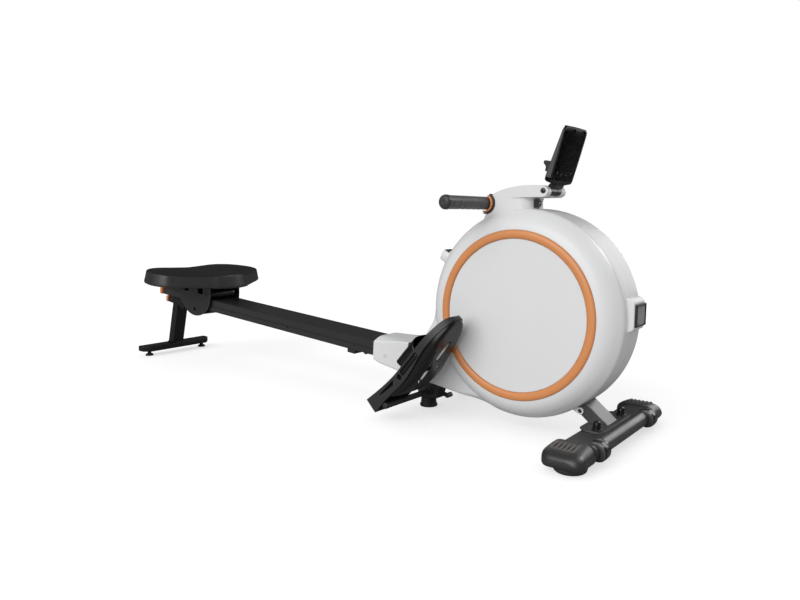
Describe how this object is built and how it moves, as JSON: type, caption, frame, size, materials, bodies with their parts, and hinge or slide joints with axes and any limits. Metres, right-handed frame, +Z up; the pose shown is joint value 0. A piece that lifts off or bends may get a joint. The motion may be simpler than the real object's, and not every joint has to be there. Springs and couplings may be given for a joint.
{
  "type": "rowing machine",
  "caption": "Folding magnetic rowing machine: drum housing with pull handle, sloping rail with sliding seat, tilting pedals with straps, wheeled front foot and rear stand.",
  "frame": {"origin": "middle of the footprint's bounding box, on the floor", "axes": "+X along the machine towards the drum end, -Y to the rower's right, +Z up; the rower faces +X"},
  "size_m": [1.883, 0.5, 0.7419],
  "materials": {
    "white_plastic": "satin moulded shell",
    "orange_plastic": "satin orange moulding",
    "black_plastic": "fine-grained black moulding",
    "grey_plastic": "dark grey moulding",
    "black_paint": "black powder coat",
    "rail_metal": "dark grey anodised extrusion",
    "steel": "bright turned steel",
    "cast_iron": "turned cast iron",
    "rubber": "matt black rubber",
    "foam": "closed-cell foam sleeve",
    "vinyl": "black vinyl on moulded foam",
    "webbing": "woven nylon strap"
  },
  "bodies": {
    "body": {"main_frame": "black_paint", "front_leg": "black_paint", "housing_right": "white_plastic", "housing_left": "white_plastic", "trim_ring_right": "orange_plastic", "trim_ring_left": "orange_plastic", "neck_shroud": "white_plastic", "cradle_edge": "black_plastic", "cradle_liner": "orange_plastic", "vent_box": "white_plastic", "vent_grille": "black_plastic", "foot_bracket": "black_paint", "middle_foot": "rubber", "pedal_crossbar": "black_paint", "pedal_axle": "steel", "stabiliser_beam": "black_paint", "stabiliser_end_right": "black_plastic", "stabiliser_end_left": "black_plastic", "flywheel_axle": "steel", "spool_axle": "steel", "return_spring": "steel", "drive_belt": "rubber", "fold_pin": "steel", "pull_strap": "webbing"},
    "flywheel": {"flywheel": "cast_iron"},
    "drive_pulley": {"drive_pulley": "black_plastic"},
    "spool": {"strap_spool": "black_plastic"},
    "guide_roller": {"guide_roller": "steel"},
    "handle": {"handle_bar": "black_plastic", "grip_right": "foam", "grip_left": "foam", "strap_clip": "black_plastic"},
    "resistance_knob": {"resistance_knob": "white_plastic"},
    "magnet_arm": {"magnet_arm": "grey_plastic"},
    "holder": {"holder_hinge": "black_plastic", "device_holder": "black_plastic"},
    "holder_ledge": {"holder_clip": "grey_plastic"},
    "pedal_right": {"pedal_right": "black_plastic", "foot_strap_right": "rubber"},
    "pedal_left": {"pedal_left": "black_plastic", "foot_strap_left": "rubber"},
    "rail": {"rail": "rail_metal", "rail_end_cap": "orange_plastic", "rail_sleeve": "white_plastic", "rail_knuckle": "black_paint", "stand_post": "black_paint", "stand_bar": "black_paint", "stand_cap": "orange_plastic"},
    "levelling_foot_right": {"levelling_foot_right": "rubber"},
    "levelling_foot_left": {"levelling_foot_left": "rubber"},
    "carriage": {"side_plate_right": "black_paint", "side_plate_left": "black_paint", "seat_base": "black_paint", "seat": "vinyl"},
    "front_roller": {"front_roller": "rubber"},
    "rear_roller": {"rear_roller": "rubber"},
    "keeper_roller": {"keeper_roller": "rubber"},
    "transport_wheel_right": {"transport_wheel_right": "rubber"},
    "transport_wheel_left": {"transport_wheel_left": "rubber"},
    "fold_lock_pin": {"fold_lock_pin": "orange_plastic"}
  },
  "joints": [
    {"name": "rail_fold", "type": "hinge", "parent": "body", "child": "rail", "pos_m": [0.3245, 0, 0.18], "axis": [0, 1, 0], "range_deg": [0, 85]},
    {"name": "seat_slide", "type": "slide", "parent": "rail", "child": "carriage", "axis": [-0.997, 0, 0.0776], "range_m": [-0.74, 0.04]},
    {"name": "front_roller_spin", "type": "hinge", "parent": "carriage", "child": "front_roller", "pos_m": [-0.60745, 0, 0.25554], "axis": [0, 1, 0], "range_deg": [-134, 2467]},
    {"name": "rear_roller_spin", "type": "hinge", "parent": "carriage", "child": "rear_roller", "pos_m": [-0.76497, 0, 0.2678], "axis": [0, 1, 0], "range_deg": [-134, 2467]},
    {"name": "keeper_roller_spin", "type": "hinge", "parent": "carriage", "child": "keeper_roller", "pos_m": [-0.68058, 0, 0.19222], "axis": [0, 1, 0], "range_deg": [-5302, 288]},
    {"name": "handle_pull", "type": "slide", "parent": "body", "child": "handle", "axis": [1, 0, 0], "range_m": [-1.1, 0], "stiffness_N_per_m": 15, "springref_m": 0.8, "deforming": ["pull_strap"]},
    {"name": "guide_roller_spin", "type": "hinge", "parent": "body", "child": "guide_roller", "pos_m": [0.6345, 0, 0.553], "axis": [0, 1, 0], "range_deg": [-4503, 0]},
    {"name": "spool_spin", "type": "hinge", "parent": "body", "child": "spool", "pos_m": [0.5895, 0, 0.4], "axis": [0, 1, 0], "range_deg": [-2102, 0]},
    {"name": "flywheel_spin", "type": "hinge", "parent": "body", "child": "flywheel", "pos_m": [0.7245, 0, 0.25], "axis": [0, 1, 0], "continuous": true},
    {"name": "drive_pulley_spin", "type": "hinge", "parent": "body", "child": "drive_pulley", "pos_m": [0.5895, 0, 0.4], "axis": [0, 1, 0], "continuous": true},
    {"name": "resistance_turn", "type": "hinge", "parent": "body", "child": "resistance_knob", "pos_m": [0.42169, 0, 0.4261], "axis": [-0.8829, 0, 0.4695], "range_deg": [0, 315]},
    {"name": "magnet_swing", "type": "hinge", "parent": "body", "child": "magnet_arm", "pos_m": [0.58934, 0, 0.15536], "axis": [0, 1, 0], "range_deg": [-12, 0]},
    {"name": "holder_tilt", "type": "hinge", "parent": "body", "child": "holder", "pos_m": [0.7145, 0, 0.595], "axis": [0, 1, 0], "range_deg": [-40, 15]},
    {"name": "ledge_slide", "type": "slide", "parent": "holder", "child": "holder_ledge", "axis": [0.2874, 0, 0.9578], "range_m": [-0.014, 0], "stiffness_N_per_m": 100, "springref_m": 0.02},
    {"name": "pedal_tilt_right", "type": "hinge", "parent": "body", "child": "pedal_right", "pos_m": [0.4135, -0.159, 0.133], "axis": [0, 1, 0], "range_deg": [0, 20]},
    {"name": "pedal_tilt_left", "type": "hinge", "parent": "body", "child": "pedal_left", "pos_m": [0.4135, 0.159, 0.133], "axis": [0, 1, 0], "range_deg": [0, 20]},
    {"name": "wheel_spin_right", "type": "hinge", "parent": "body", "child": "transport_wheel_right", "pos_m": [0.9145, -0.153, 0.034], "axis": [0, 1, 0], "continuous": true},
    {"name": "wheel_spin_left", "type": "hinge", "parent": "body", "child": "transport_wheel_left", "pos_m": [0.9145, 0.153, 0.034], "axis": [0, 1, 0], "continuous": true},
    {"name": "level_turn_right", "type": "hinge", "parent": "rail", "child": "levelling_foot_right", "pos_m": [-0.9135, -0.118, 0.01], "axis": [0, 0, 1], "continuous": true},
    {"name": "level_turn_left", "type": "hinge", "parent": "rail", "child": "levelling_foot_left", "pos_m": [-0.9135, 0.118, 0.01], "axis": [0, 0, 1], "continuous": true},
    {"name": "lock_pin_slide", "type": "slide", "parent": "body", "child": "fold_lock_pin", "axis": [0, 1, 0], "range_m": [-0.008, 0]}
  ],
  "couplings": [
    {"joint": "front_roller_spin", "follows": "seat_slide", "rad_per_m": -58.14},
    {"joint": "rear_roller_spin", "follows": "seat_slide", "rad_per_m": -58.14},
    {"joint": "keeper_roller_spin", "follows": "seat_slide", "rad_per_m": 125},
    {"joint": "guide_roller_spin", "follows": "handle_pull", "rad_per_m": 71.43},
    {"joint": "spool_spin", "follows": "handle_pull", "rad_per_m": 33.33},
    {"joint": "drive_pulley_spin", "follows": "flywheel_spin", "ratio": 0.25},
    {"joint": "magnet_swing", "follows": "resistance_turn", "ratio": -0.038}
  ]
}
